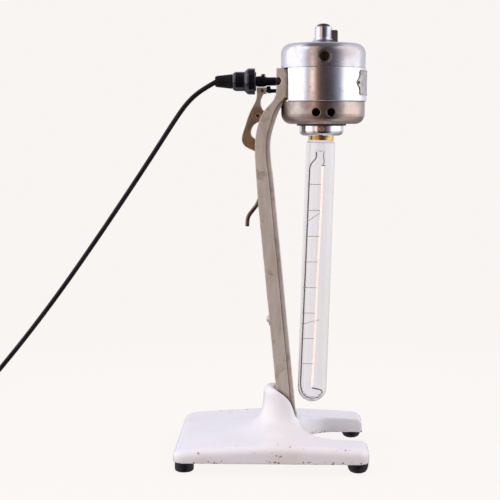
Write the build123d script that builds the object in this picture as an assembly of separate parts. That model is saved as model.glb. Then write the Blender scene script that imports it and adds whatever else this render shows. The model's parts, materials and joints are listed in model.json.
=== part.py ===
"""A table lamp made from an old bench stirrer stand.

Frame, in millimetres: +Z up, +X towards the bulb, origin on the floor at the centre of the base.
Each physical piece is written to parts/NAME.step.
"""
import os
from math import cos, radians, sin, tan

from build123d import *

# Base casting
BASE_LENGTH = 196.0
BASE_WIDTH = 170.0
BASE_CORNER = 12.0
FOOT_HEIGHT = 11.5
BASE_WALL = 6.0
NOTCH_X = 72.0          # centre of the round end of the U
NOTCH_LOW_R = 41.0      # half width at the underside
NOTCH_HIGH_R = 47.0     # half width at the top of the draft
NOTCH_DRAFT_TOP = 31.5
BOSS_X = 12.0           # axis of the socket that the post stands in
BOSS_TOP_Z = 75.0
RIM_R = 7.0             # rounding of the slab's upper rim
UNDERSIDE_INSET = 9.0   # from the slab's outline to the hollow underneath
FIX_X = 18.0            # the two screws up into the post's foot
FIX_Y = 7.0
FOOT_X = 87.0
FOOT_Y = 68.0
FOOT_R = 9.6
FRONT_FOOT_R = 10.6
FOOT_SCREW_TOP = 6.5    # above the feet
ABOVE = 60.0            # enough to clear the slab

# Post, an open channel
POST_WIDTH = 30.0
POST_FOOT_Z = 18.0
POST_HEAD_Z = 402.2
POST_WEB = 4.0
POST_FLANGE = 3.5
REBATE_DEPTH = 1.5
REBATE_STRIP = 4.4
POST_LEAN = 5.6         # degrees from upright along the straight run
STRAIGHT_Z = 260.0      # the straight run ends and the bend begins
STRAIGHT_FRONT_X = 3.7
STRAIGHT_BACK_X = -14.0
BRIDGE_Z = 143.0        # crosspiece between the flanges

# Motor housing, upright about this axis
HOUSING_X = 51.7
BAND_R = 44.2
BAND_LOW_Z = 368.8
BAND_TOP_Z = 402.4
BAND_WALL = 3.2
PAD_X = 15.8            # flat seat for the post's head
CAP_R = 43.2
CAP_TOP_Z = 427.3
CAP_SHOULDER = 10.0
CAP_WALL = 2.2
LOWER_R = 42.8
LOWER_Z = 346.0
BOLT_CIRCLE_R = 28.0
BRUSH_Z = 412.7
PLATE_Z = 387.3
VENT_Z = 357.6          # the two round holes in the lower cap

# Push button on top
BARREL_R = 8.85
BARREL_TOP_Z = 444.5
BUTTON_R = 6.75
RUNNING = 0.05          # radial clearance of a running fit

# Head stud, conduit and connector share this axis, along X
CONDUIT_Z = 389.3
CONDUIT_R = 4.3

# Switch lever
PIVOT_X = -14.9
PIVOT_Z = 354.4
LEVER_HALF = 6.0
LUG_HALF = 2.5
FORK_HALF = 2.6
PIN_R = 2.0
RIVET_X = -10.4
RIVET_Z = 379.7
ROD_R = 2.1

# Lampholder and bulb
HOLDER_X = 50.2
RING_LOW_Z = 334.2
RING_TOP_Z = 344.3
RING_R = 22.7
RING_SCREW_Z = 341.4
HOLDER_TOP_Z = 371.5
TERMINAL_X = 11.0       # each side of the holder's axis
BULB_X = 50.0           # bulb axis at the ring's lower face
BULB_TILT = 1.71        # degrees, foot of the bulb towards the post
GLASS_R = 15.0
GLASS_WALL = 1.0
GLASS_LENGTH = 278.6    # from the ring's lower face to the glass's end
FILAMENT_R = 0.75       # envelope of the fine coiled strand
SUPPORT_R = 0.7         # thick wire that carries the lower end of the strand
LEAD_WIRE_R = 0.4
ANCHOR_R = 0.25
ANCHORS = 8
ANCHOR_PITCH = 26.9

# Cord
CORD_D = 5.0
COIL_X = -415.0
COIL_Y = -38.0
COIL_IN_R = 18.0
COIL_OUT_R = 40.5
COIL_HEIGHT = 10.2
LEAD_R = 38.0           # radius of the outer turn's centre line
LEAD_IN = 21.0
PLUG_Z = 7.6            # height of the plug's middle, and of the coil's upper layer

# The cord's free run, from inside the strain relief down to the coil's lead-in
CORD_ROUTE = [
    (-55.0, 0.0, 390.6),
    (-67.5, 0.0, 384.0),
    (-82.0, 0.0, 373.8),
    (-94.5, 0.0, 359.4),
    (-120.0, 0.0, 320.0),
    (-151.0, 0.0, 273.5),
    (-187.0, 0.0, 221.0),
    (-224.0, 0.0, 169.0),
    (-262.0, 0.0, 119.5),
    (-297.0, 0.0, 77.5),
    (-321.0, 0.0, 48.5),
    (-338.0, 0.0, 29.5),
    (-351.5, 0.0, 16.5),
    (-362.5, 0.0, 8.3),
    (-373.0, 0.0, 4.0),
    (-383.5, 0.0, 2.5),
    (COIL_X + LEAD_IN, 0.0, 2.5),
]

pieces = {}


def keep(name, shape):
    """Remember one node."""
    pieces[name] = shape


def rod(radius, start, end):
    """A round bar between two points."""
    line = Vector(*end) - Vector(*start)
    plane = Plane(origin=start, z_dir=line)
    return extrude(plane * Circle(radius), line.length)


def tube(outer, inner, start, end):
    return rod(outer, start, end) - rod(inner, start, end)


def block(x0, x1, y0, y1, z0, z1):
    """A box from its limits."""
    size = (x1 - x0, y1 - y0, z1 - z0)
    return Pos((x0 + x1) / 2, (y0 + y1) / 2, (z0 + z1) / 2) * Box(*size)


def turned(x, outline):
    """Revolve an outline of (radius, z) points about the upright axis at x."""
    face = make_face(Plane.XZ * Polyline(*outline, close=True))
    return Pos(x, 0, 0) * revolve(face, Axis.Z)


def turned_along_x(z, outline):
    """Revolve an outline of (x, radius) points about the axis along X at height z."""
    face = make_face(Plane.XZ * Polyline(*outline, close=True))
    return Pos(0, 0, z) * revolve(face, Axis.X)


def across(face, half_width):
    """A face in XZ, extruded from -half_width to +half_width along Y."""
    return extrude(Pos(0, -half_width, 0) * face, 2 * half_width, dir=(0, 1, 0))


def plate(edges, half_width):
    """A flat outline in XZ, extruded both ways along Y."""
    return across(make_face(edges), half_width)


def side(x, z):
    """A point in the XZ plane through the middle of the lamp."""
    return (x, 0, z)


def group(solids):
    """Several separate solids as one node."""
    return Compound(children=list(solids))


def arc_radii(points):
    """The largest arcs that the runs leave room for: each takes 0.45 of the shorter run beside it."""
    points = [Vector(*p) for p in points]
    radii = []
    for a, b, c in zip(points, points[1:], points[2:]):
        turn = (b - a).get_angle(c - b)
        shorter = min((b - a).length, (c - b).length)
        radii.append(0.45 * shorter / tan(radians(turn / 2)))
    return radii


def wire(radius, points):
    """A round wire along straight runs joined by arcs."""
    path = FilletPolyline(*points, radius=arc_radii(points))
    return sweep(Plane(origin=path @ 0, z_dir=path % 0) * Circle(radius), path=path)


# ---------------------------------------------------------------- base

def notch_cutter():
    """The U-shaped space between the legs, drafted below and straight above."""
    low, high = NOTCH_LOW_R, NOTCH_HIGH_R
    z0, z1 = FOOT_HEIGHT - 1, NOTCH_DRAFT_TOP
    far = BASE_LENGTH
    cone = Pos(NOTCH_X, 0, (z0 + z1) / 2) * Cone(low, high, z1 - z0)
    section = Plane.YZ.offset(NOTCH_X) * Polygon(
        (-low, z0), (low, z0), (high, z1), (-high, z1), align=None
    )
    run = extrude(section, far)
    above = Pos(NOTCH_X, 0, z1 + 40) * Cylinder(high, 80)
    above_run = block(NOTCH_X, NOTCH_X + far, -high, high, z1, z1 + 80)
    return cone + run + above + above_run


def slab_profile(drop=0.0):
    """The slab seen from the side: low at the rear, highest beside the post."""
    rear, front = -BASE_LENGTH / 2, BASE_LENGTH / 2
    top = Spline(
        side(rear, 22.5 - drop),
        side(-59, 25.6 - drop),
        side(-20, 28.0 - drop),
        side(10, 29.0 - drop),
        side(50, 27.6 - drop),
        side(front, 25.7 - drop),
    )
    rest = Polyline(
        side(front, 25.7 - drop),
        side(front, FOOT_HEIGHT),
        side(rear, FOOT_HEIGHT),
        side(rear, 22.5 - drop),
    )
    return make_face(top + rest)


def slab():
    body = across(slab_profile(), BASE_WIDTH / 2)
    plan = Pos(0, 0, FOOT_HEIGHT) * extrude(
        RectangleRounded(BASE_LENGTH, BASE_WIDTH, BASE_CORNER), ABOVE
    )
    body = body & plan
    rim = body.edges().filter_by(lambda e: e.center().Z > FOOT_HEIGHT + 8)
    rim = rim.filter_by(lambda e: abs(e.tangent_at(0.5).Z) < 0.5)
    return fillet(rim, RIM_R)


def boss():
    """The flared socket that the post stands in, before its slanted mouth is cut."""
    flare = Spline((84, 19), (66, 24), (55, 27), (43, 30.2), (34, 33.2), (28.4, 37), (24.5, 42.5),
                   (22.2, 50), (21, 58), (20.7, 66), tangents=((-1, 0.25), (0, 1)))
    lip = ThreePointArc((20.7, 66), (17.8, 72.5), (11, BOSS_TOP_Z))
    rest = Polyline((11, BOSS_TOP_Z), (0, BOSS_TOP_Z), (0, FOOT_HEIGHT), (84, FOOT_HEIGHT), (84, 19))
    face = make_face(Plane.XZ * (flare + lip + rest))
    return Pos(BOSS_X, 0, 0) * revolve(face, Axis.Z)


def mouth_cutter():
    """Everything above the boss's slanted rim."""
    rim = Spline(side(-20, 77), side(-6, 75.0), side(4, 71.3), side(12.4, 65.5), side(18.5, 59.5),
                 side(22.0, 52), side(25.5, 41))
    rest = Polyline(side(25.5, 41), side(70, 41), side(70, 110), side(-20, 110), side(-20, 77))
    return plate(rim + rest, 40)


def post_front(shift=0.0):
    """The post's front edge from the head down, moved back by shift."""
    lean = (sin(radians(POST_LEAN)), 0, -cos(radians(POST_LEAN)))
    foot_x = STRAIGHT_FRONT_X + (STRAIGHT_Z - POST_FOOT_Z) * tan(radians(POST_LEAN))
    head = Line(side(PAD_X - shift, POST_HEAD_Z), side(PAD_X - shift, 371.5))
    bend = Spline(
        side(PAD_X - shift, 371.5),
        side(8.0 - shift, 362.0),
        side(2.6 - shift, 348.4),
        side(-1.5 - shift, 333.5),
        side(-2.4 - shift, 319.0),
        side(-1.1 - shift, 303.0),
        side(STRAIGHT_FRONT_X - shift, STRAIGHT_Z),
        tangents=((-0.72, 0, -0.69), lean),
    )
    leg = Line(side(STRAIGHT_FRONT_X - shift, STRAIGHT_Z), side(foot_x - shift, POST_FOOT_Z))
    return head, bend, leg


def post_back():
    """The post's back edge from the foot up."""
    lean = (-sin(radians(POST_LEAN)), 0, cos(radians(POST_LEAN)))
    foot_x = STRAIGHT_BACK_X + (STRAIGHT_Z - POST_FOOT_Z) * tan(radians(POST_LEAN))
    leg = Line(side(foot_x, POST_FOOT_Z), side(STRAIGHT_BACK_X, STRAIGHT_Z))
    bend = Spline(
        side(STRAIGHT_BACK_X, STRAIGHT_Z),
        side(-16.3, 291.5),
        side(-17.8, 319.0),
        side(-16.6, 336.0),
        side(-12.1, 352.3),
        side(-6.7, 361.5),
        side(1.0, 370.2),
        side(4.0, 381.0),
        tangents=(lean, (0, 0, 1)),
    )
    head = Line(side(4.0, 381.0), side(4.0, POST_HEAD_Z))
    return leg, bend, head


def post_outline(shift=0.0):
    """The post's side outline, with its front edge moved back by shift."""
    f_head, f_bend, f_leg = post_front(shift)
    b_leg, b_bend, b_head = post_back()
    foot = Line(f_leg @ 1, b_leg @ 0)
    top = Line(b_head @ 1, f_head @ 0)
    return make_face([f_head, f_bend, f_leg, foot, b_leg, b_bend, b_head, top])


def post_solid():
    return across(post_outline(), POST_WIDTH / 2)


def make_base():
    """The enamelled casting: slab, socket, space between the legs and hollow underside."""
    base = slab() + boss()
    base -= mouth_cutter()
    base -= notch_cutter()
    base -= post_solid()
    # hollow underneath, clear of the socket and the four foot pads
    inset = RectangleRounded(BASE_LENGTH - 2 * UNDERSIDE_INSET, BASE_WIDTH - 2 * UNDERSIDE_INSET, 6)
    hollow = across(slab_profile(drop=BASE_WALL), BASE_WIDTH / 2)
    hollow &= Pos(0, 0, FOOT_HEIGHT) * extrude(inset, ABOVE)
    wall = NOTCH_HIGH_R + BASE_WALL
    hollow -= Pos(NOTCH_X, 0, 0) * extrude(Circle(wall), ABOVE)
    hollow -= block(NOTCH_X, BASE_LENGTH, -wall, wall, 0, ABOVE)
    hollow -= Pos(FIX_X, 0, 0) * extrude(Circle(30), ABOVE)
    for x, y in foot_places():
        hollow -= Pos(x, y, 0) * extrude(Circle(FOOT_R + 2), ABOVE)
    base -= hollow
    for x, y in foot_places():
        base -= Pos(x, y, FOOT_HEIGHT) * extrude(Circle(1.9), 7)
    for y in (-FIX_Y, FIX_Y):
        base -= rod(3.2, (FIX_X, y, FOOT_HEIGHT), (FIX_X, y, POST_FOOT_Z))
        base -= rod(6.0, (FIX_X, y, FOOT_HEIGHT), (FIX_X, y, FOOT_HEIGHT + 4.2))
    keep("base_casting", base)


def foot_places():
    """Where the four feet are, rear ones first."""
    return [(x, y) for x in (-FOOT_X, FOOT_X) for y in (-FOOT_Y, FOOT_Y)]


def make_feet():
    """Straight buffers at the rear, bowl-shaped ones at the front, with a screw in each."""
    h = FOOT_HEIGHT
    rear_outline = [(1.9, 2.6), (4.5, 2.6), (4.5, 0), (8.2, 0), (9.3, 0.9), (FOOT_R, 2.6),
                    (FOOT_R, h), (1.9, h)]
    front_outline = [(1.9, 3.0), (4.5, 3.0), (4.5, 0), (6.0, 0), (8.1, 1.1), (9.5, 3.2), (10.3, 5.8),
                     (FRONT_FOOT_R, 8.6), (FRONT_FOOT_R, h), (1.9, h)]
    for name, x, outline in (("rear", -FOOT_X, rear_outline), ("front", FOOT_X, front_outline)):
        foot = turned(0, outline)
        keep(f"foot_{name}_near", Pos(x, -FOOT_Y, 0) * foot)
        keep(f"foot_{name}_far", Pos(x, FOOT_Y, 0) * foot)
    top = h + FOOT_SCREW_TOP
    screws = []
    for x, y in foot_places():
        low, seat = (1.2, 2.6) if x < 0 else (1.4, 2.9)
        head = [(0, low), (3.6, low), (4.0, low + 0.8), (4.0, seat)]
        screws.append(Pos(x, y, 0) * turned(0, head + [(1.85, seat), (1.85, top), (0, top)]))
    keep("foot_screws", group(screws))


# ---------------------------------------------------------------- post

def make_post():
    """The curved channel, with the lug for the lever."""
    outline = post_outline()
    post = across(outline, POST_WIDTH / 2)
    # the channel, open to the back, closed at the head
    channel = across(post_outline(POST_WEB), POST_WIDTH / 2 - POST_FLANGE)
    channel &= block(-60, 60, -20, 20, POST_FOOT_Z, POST_HEAD_Z - POST_WEB)
    post -= channel
    # stepped front corners
    strip = across(outline - post_outline(REBATE_STRIP), POST_WIDTH / 2 + 1)
    strip -= block(-60, 60, -POST_WIDTH / 2 + REBATE_DEPTH, POST_WIDTH / 2 - REBATE_DEPTH, 0, 500)
    strip &= block(-60, 60, -20, 20, POST_FOOT_Z - 1, 372.5)
    post -= strip
    # saddle where the post passes the housing's lower cap
    post -= Pos(HOUSING_X, 0, BAND_LOW_Z - 20) * Cylinder(LOWER_R + 0.4, 40)
    # half-round gap in the flanges round the stud's nut
    gap = rod(4.6, (4.4, -20, CONDUIT_Z), (4.4, 20, CONDUIT_Z))
    post -= gap - block(-10, 20, -6, 6, 380, 400)
    post -= rod(4.0, (0, 0, CONDUIT_Z), (20, 0, CONDUIT_Z))
    # lug that carries the lever's pivot
    lug = make_face(Polyline(side(PIVOT_X, PIVOT_Z + 4.2), side(-2, 361), side(3, 358), side(-3, 344),
                             side(PIVOT_X, PIVOT_Z - 4.2), close=True))
    lug = across(lug, LUG_HALF)
    lug += rod(4.2, (PIVOT_X, -LUG_HALF, PIVOT_Z), (PIVOT_X, LUG_HALF, PIVOT_Z))
    lug &= across(outline, 20) + block(-30, -5, -3, 3, 340, 362)
    post += lug
    post -= rod(PIN_R, (PIVOT_X, -5, PIVOT_Z), (PIVOT_X, 5, PIVOT_Z))
    corner = post.edges().filter_by(Axis.Y).sort_by(lambda e: -(e.center().Z * 10 + e.center().X))[0]
    post = fillet(corner, 3.6)
    keep("post", post)


def make_post_fastenings():
    """The nut block and screws in the socket, and the crosspiece with its domed screw."""
    inner = POST_WIDTH / 2 - POST_FLANGE
    nut = across(post_outline(POST_WEB), inner) & block(-40, 40, -20, 20, POST_FOOT_Z, 30)
    for y in (-FIX_Y, FIX_Y):
        nut -= rod(3.0, (FIX_X, y, POST_FOOT_Z), (FIX_X, y, 30))
    keep("post_nut_block", nut)
    screw = turned(FIX_X, [(0, 12.0), (5.4, 12.0), (5.4, 15.7), (3.0, 15.7), (3.0, 28), (0, 28)])
    keep("post_screws", group([Pos(0, y, 0) * screw for y in (-FIX_Y, FIX_Y)]))
    x = STRAIGHT_BACK_X + (STRAIGHT_Z - BRIDGE_Z) * tan(radians(POST_LEAN))
    at = Pos(x, 0, BRIDGE_Z) * Rot(0, POST_LEAN, 0)
    bridge = Pos(2.25, 0, 0) * Box(4.5, 2 * inner, 9)
    bridge -= rod(1.6, (-2, 0, 0), (6, 0, 0))
    keep("post_bridge", at * bridge)
    dome = [(0, 0), (0, 4.5), (-1.6, 3.9), (-2.8, 2.4), (-3.4, 0.9), (-3.4, 0)]
    screw = turned_along_x(0, dome) + rod(1.55, (-0.5, 0, 0), (6.5, 0, 0))
    screw -= Box(12, 0.9, 9) & block(-5, -2.3, -2, 2, -5, 5)
    keep("bridge_screw", at * screw)


def make_head_stud():
    """The hollow stud that joins the housing, the post and the conduit, with its nut."""
    z = CONDUIT_Z
    stud = tube(3.95, 2.4, (3.6, 0, z), (27.5, 0, z))
    keep("head_stud", stud)
    nut = Pos(20.2, 0, z) * Rot(0, 90, 0) * extrude(RegularPolygon(7.2, 6), 5)
    keep("head_nut", nut - rod(3.96, (19, 0, z), (27, 0, z)))


# ---------------------------------------------------------------- connector and switch

def make_connector():
    """Conduit, collar, the two black turned pieces and the ribbed tail that grips the cord."""
    z = CONDUIT_Z
    keep("conduit_tube", tube(CONDUIT_R, 2.4, (-24.0, 0, z), (3.5, 0, z)))
    collar = turned_along_x(z, [(-16.7, CONDUIT_R), (-16.7, 5.1), (-13.8, 5.5), (-9.0, 5.5), (-6.5, 4.9),
                                (-6.5, CONDUIT_R)])
    collar -= rod(1.5, (-9.6, 0, z + 4.4), (-9.6, 0, z + 9))
    keep("switch_collar", collar)
    screw = turned(-9.6, [(0, z + 4.6), (1.5, z + 4.6), (1.5, z + 5.9), (2.5, z + 5.9), (2.3, z + 6.9),
                          (1.4, z + 7.5), (0, z + 7.7)])
    keep("collar_screw", screw)
    flange = [(-16.8, CONDUIT_R), (-16.8, 9.6), (-17.9, 10.0), (-17.9, 13.1), (-18.3, 13.4), (-24.2, 13.4),
              (-25.8, 12.9), (-27.0, 11.6), (-28.6, 10.4), (-28.6, CONDUIT_R)]
    keep("connector_flange", turned_along_x(z, flange))
    barrel = [(-28.6, 3.2), (-28.6, 9.4), (-29.4, 9.9), (-37.6, 9.9), (-39.0, 9.4), (-40.7, 8.2),
              (-40.7, 3.2)]
    keep("connector_barrel", turned_along_x(z, barrel))
    tail = turned_along_x(z, [(-40.7, 3.0), (-40.7, 7.2), (-58.8, 5.2), (-58.8, 3.4), (-54.0, 2.7)])
    rib = rod(0.42, (-57.6, 0, 5.25), (-41.6, 0, 7.05))
    for i in range(16):
        tail += Pos(0, 0, z) * Rot(i * 360 / 16, 0, 0) * rib
    keep("strain_relief", tail)


def make_switch():
    """A small switch in the channel, pressed through a black wedge by the lever's head."""
    inner = POST_WIDTH / 2 - POST_FLANGE
    web = PAD_X - POST_WEB
    z = RIVET_Z
    body = block(5.4, web, -inner, inner, 372.8, 384.6)
    guide_hole = rod(2.0 + RUNNING, (0, 0, z), (9.5, 0, z))
    keep("switch_body", body - guide_hole)
    wedge = make_face(Polyline(side(-6.0, 384.4), side(-2.2, 384.4), side(-1.0, 377.4), side(-5.0, 377.4),
                               side(-6.0, 378.4), close=True))
    plunger = across(wedge, 5.0)
    plunger += rod(2.0, (-3.5, 0, z), (7.4, 0, z))
    keep("switch_plunger", plunger)


def make_lever():
    """The forked lever, its pin, the rivet through its head and the rod that hangs from its toe."""
    outline = Spline(
        side(-16.2, 383.2),
        side(-16.6, 371.4),
        side(-20.6, 362.9),
        side(-25.0, 353.1),
        side(-29.1, 340.3),
        side(-31.4, 330.0),
        side(-28.6, 323.8),
        side(-18.4, 318.3),
        side(-11.5, 316.0),
        tangents=((0, 0, -1), (1, 0, -0.2)),
    )
    inner = Spline(
        side(-11.5, 327.0),
        side(-17.8, 330.6),
        side(-21.6, 334.0),
        side(-22.2, 338.4),
        side(-19.6, 344.4),
        side(-13.8, 348.2),
        side(-9.6, 350.2),
        side(-7.6, 354.6),
        side(-10.6, 361.5),
        side(-11.7, 371.5),
        side(-10.2, 375.0),
        side(-6.2, 377.0),
        tangents=((-1, 0, 0.1), (1, 0, 0.1)),
    )
    ends = Polyline(side(-6.2, 377.0), side(-6.2, 383.2), side(-16.2, 383.2))
    tail = Line(side(-11.5, 316.0), side(-11.5, 327.0))
    lever = plate(outline + inner + ends + tail, LEVER_HALF)
    # a flat milled disc on each cheek round the pivot
    lever -= tube(8.0, 7.4, (PIVOT_X, -LEVER_HALF, PIVOT_Z), (PIVOT_X, -LEVER_HALF + 0.4, PIVOT_Z))
    lever -= tube(8.0, 7.4, (PIVOT_X, LEVER_HALF - 0.4, PIVOT_Z), (PIVOT_X, LEVER_HALF, PIVOT_Z))
    fork = rod(9.5, (PIVOT_X, -FORK_HALF, PIVOT_Z), (PIVOT_X, FORK_HALF, PIVOT_Z))
    fork += block(-16, 0, -FORK_HALF, FORK_HALF, 342, 364)
    lever -= fork
    lever -= rod(PIN_R + RUNNING, (PIVOT_X, -10, PIVOT_Z), (PIVOT_X, 10, PIVOT_Z))
    lever -= rod(1.5, (RIVET_X, -10, RIVET_Z), (RIVET_X, 10, RIVET_Z))
    lever -= rod(ROD_R, (-13.6, 0, 312), (-14.2, 0, 326))
    keep("lever", lever)
    pin = LEVER_HALF - 0.9
    keep("lever_pin", rod(PIN_R, (PIVOT_X, -pin, PIVOT_Z), (PIVOT_X, pin, PIVOT_Z)))
    rivet = rod(1.5, (RIVET_X, -LEVER_HALF - 0.5, RIVET_Z), (RIVET_X, LEVER_HALF + 0.5, RIVET_Z))
    keep("lever_rivet", rivet)
    path = [side(-14.2, 326), side(-11.7, 268), side(-25.7, 250.0), side(-26.0, 240.3)]
    keep("pull_rod", wire(ROD_R, path))


# ---------------------------------------------------------------- housing

def cap_outline(radius, open_z, closed_z, hole, wall=CAP_WALL):
    """Half section of a cup with a rounded shoulder, closed at closed_z but for a hole."""
    up = 1 if closed_z > open_z else -1
    steps = [radians(a) for a in range(0, 91, 15)]
    outer_r, inner_r = CAP_SHOULDER, CAP_SHOULDER - wall
    centre = radius - outer_r
    middle = closed_z - up * outer_r
    outer = [(centre + outer_r * cos(a), middle + up * outer_r * sin(a)) for a in steps]
    inner = [(centre + inner_r * cos(a), middle + up * inner_r * sin(a)) for a in reversed(steps)]
    return [(radius, open_z), *outer, (hole, closed_z), (hole, closed_z - up * wall), *inner,
            (radius - wall, open_z)]


def bolt_places():
    """The two long bolts, diagonally opposite."""
    reach = BOLT_CIRCLE_R * sin(radians(45))
    return [(HOUSING_X + reach, reach), (HOUSING_X - reach, -reach)]


def make_top_cap():
    """Upper shell with the flared barrel and its square lug."""
    hole = BUTTON_R + RUNNING
    cap = turned(HOUSING_X, cap_outline(CAP_R, BAND_TOP_Z, CAP_TOP_Z, hole))
    flare = [(hole, CAP_TOP_Z - CAP_WALL), (16.5, CAP_TOP_Z - CAP_WALL), (16.5, CAP_TOP_Z),
             (12.6, CAP_TOP_Z + 1.6), (10.2, CAP_TOP_Z + 3.6), (BARREL_R, CAP_TOP_Z + 6.4),
             (BARREL_R, BARREL_TOP_Z - 0.6), (BARREL_R - 0.6, BARREL_TOP_Z), (hole, BARREL_TOP_Z)]
    cap += turned(HOUSING_X, flare)
    lug = block(HOUSING_X + 6, HOUSING_X + 14.6, -4.2, 4.2, CAP_TOP_Z - 1, 440.9)
    lug = fillet(lug.edges().filter_by(Axis.Y).sort_by(Axis.X)[-2:].sort_by(Axis.Z)[-1:], 1.6)
    cap += lug
    cap -= rod(hole, (HOUSING_X, 0, CAP_TOP_Z - 5), (HOUSING_X, 0, BARREL_TOP_Z + 1))
    # counterbore that holds the button's flange down
    cap -= rod(8.0, (HOUSING_X, 0, CAP_TOP_Z - 5), (HOUSING_X, 0, CAP_TOP_Z + 3))
    for x, y in bolt_places():
        cap += rod(4.6, (x, y, BAND_TOP_Z), (x, y, CAP_TOP_Z - 1))
        cap -= rod(2.0, (x, y, BAND_TOP_Z - 1), (x, y, CAP_TOP_Z - 4))
    for s in (-1, 1):
        cap -= rod(7.0, (HOUSING_X, s * 42.45, BRUSH_Z), (HOUSING_X, s * 50, BRUSH_Z))
        cap -= rod(5.5, (HOUSING_X, s * 30, BRUSH_Z), (HOUSING_X, s * 50, BRUSH_Z))
    keep("motor_top_cap", cap)


def make_brushes():
    """The motor's two brush tubes and their slotted caps, left in place."""
    x, z = HOUSING_X, BRUSH_Z
    holders, caps = [], []
    for s in (-1, 1):
        holders.append(tube(5.5, 4.4, (x, s * 26, z), (x, s * 42.3, z)))
        slot = Pos(x, s * 40, z) * Box(1.4, 2.2, 10)
        caps.append(rod(4.4, (x, s * 33, z), (x, s * 40.4, z)) - slot)
    keep("brush_holders", group(holders))
    keep("brush_caps", group(caps))


def make_band():
    """The polished ring, flat where the post's head seats and drilled for the nameplate's pins."""
    height = BAND_TOP_Z - BAND_LOW_Z
    mid = (BAND_TOP_Z + BAND_LOW_Z) / 2
    outer = Pos(HOUSING_X, 0, mid) * Cylinder(BAND_R, height)
    outer = chamfer(outer.edges().filter_by(GeomType.CIRCLE), 0.5)
    outer &= block(PAD_X, 110, -60, 60, 0, 500)
    inner = Pos(HOUSING_X, 0, mid) * Cylinder(BAND_R - BAND_WALL, height + 2)
    inner &= block(PAD_X + 4.4, 110, -60, 60, 0, 500)
    band = outer - inner
    band -= rod(3.96, (PAD_X - 1, 0, CONDUIT_Z), (PAD_X + 6, 0, CONDUIT_Z))
    keep("motor_band", band - group(plate_pins()))


def make_lower_cap():
    """Lower shell, with two vent holes at the front and the hole for the lampholder."""
    cap = turned(HOUSING_X, cap_outline(LOWER_R, BAND_LOW_Z, LOWER_Z, 16.0))
    cap -= rod(20.2, (HOLDER_X, 0, LOWER_Z - 1), (HOLDER_X, 0, LOWER_Z + 5))
    for dx in (-7.4, 7.4):
        cap -= rod(4.2, (HOUSING_X - 0.5 + dx, -60, VENT_Z), (HOUSING_X - 0.5 + dx, -30, VENT_Z))
    for x, y in bolt_places():
        cap += rod(4.6, (x, y, LOWER_Z + 1), (x, y, LOWER_Z + 6))
        cap -= rod(2.05, (x, y, LOWER_Z - 1), (x, y, LOWER_Z + 8))
        cap -= Pos(x, y, LOWER_Z + 1.0) * Cone(4.1, 2.05, 2.05)
    keep("motor_lower_cap", cap)


def make_through_bolts():
    """Countersunk bolts up through both caps."""
    top = CAP_TOP_Z - 5
    bolts = []
    for x, y in bolt_places():
        bolt = turned(0, [(0, LOWER_Z), (4.05, LOWER_Z), (2.0, LOWER_Z + 2.03), (2.0, top), (0, top)])
        bolt -= block(-0.5, 0.5, -5, 5, LOWER_Z - 1, LOWER_Z + 0.9)
        bolts.append(Pos(x, y, 0) * bolt)
    keep("through_bolts", group(bolts))


def plate_outline(grow):
    """Ticket-shaped outline of the nameplate, in (distance round the band, height)."""
    w, h = 26.5 + grow, 12.3 + grow
    tip = 33.2 + grow
    right = [(w, h), (w + 1.8, h - 1.8), (w + 1.4, h - 4.6), (w + 2.6, h - 7.2), (tip - 1.2, h - 10.2),
             (tip, 0)]
    quarter = right + [(s, -z) for s, z in reversed(right[:-1])]
    left = [(-s, z) for s, z in reversed(quarter)]
    return quarter + left


def plate_solid(grow, r0, r1):
    """The nameplate's outline, wrapped round the band between two radii."""
    flat = [(BAND_R * sin(s / BAND_R), PLATE_Z + h) for s, h in plate_outline(grow)]
    blank = Plane.YZ * make_face(Polyline(*flat, close=True))
    blank = Pos(HOUSING_X + 20, 0, 0) * extrude(blank, 40)
    shell = Pos(HOUSING_X, 0, PLATE_Z) * (Cylinder(r1, 40) - Cylinder(r0, 40))
    return blank & shell


def plate_pins():
    """A domed drive pin near each end of the nameplate."""
    middle = Vector(HOUSING_X, 0, PLATE_Z)
    pins = []
    for s in (-1, 1):
        angle = s * 30.0 / BAND_R
        out = Vector(cos(angle), sin(angle), 0)
        head = middle + out * (BAND_R + 0.6)
        behind = Plane(origin=head, z_dir=-out) * Pos(0, 0, 2) * Box(9, 9, 4)
        dome = Pos(*head) * Sphere(1.5) - behind
        pins.append(rod(0.9, middle + out * (BAND_R - 2.0), head + out * 0.1) + dome)
    return pins


def make_nameplate():
    """A blank plate with a raised rim."""
    pins = group(plate_pins())
    badge = plate_solid(0, BAND_R, BAND_R + 0.9)
    badge -= plate_solid(-1.1, BAND_R + 0.6, BAND_R + 2)
    keep("nameplate", badge - pins)
    keep("nameplate_pins", pins)


def make_push_button():
    """The button in the barrel, and the switch it presses."""
    x, top = HOUSING_X, BARREL_TOP_Z
    flange_top = CAP_TOP_Z + 3 - 0.3
    dome = [(0, 420.6), (3.0, 420.6), (3.0, flange_top - 2.2), (7.6, flange_top - 2.2), (7.6, flange_top),
            (BUTTON_R, flange_top), (BUTTON_R, top + 0.4), (6.2, top + 1.6), (5.0, top + 2.4),
            (3.0, top + 3.0), (0, top + 3.2)]
    keep("push_button", turned(x, dome))
    body = turned(x, [(0, 398), (9.5, 398), (9.5, 418.2), (7.4, 418.2), (7.4, CAP_TOP_Z - CAP_WALL),
                      (6.2, CAP_TOP_Z - CAP_WALL), (6.2, 418.9), (3.3, 418.9), (3.3, 416), (0, 416)])
    keep("push_switch_body", body)
    keep("switch_nut", turned(x, [(7.4, 421.6), (12.2, 421.6), (12.2, CAP_TOP_Z - CAP_WALL),
                                  (7.4, CAP_TOP_Z - CAP_WALL)]))


# ---------------------------------------------------------------- lampholder and bulb

BULB_FRAME = Pos(BULB_X, 0, RING_LOW_Z) * Rot(0, BULB_TILT, 0)


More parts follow.
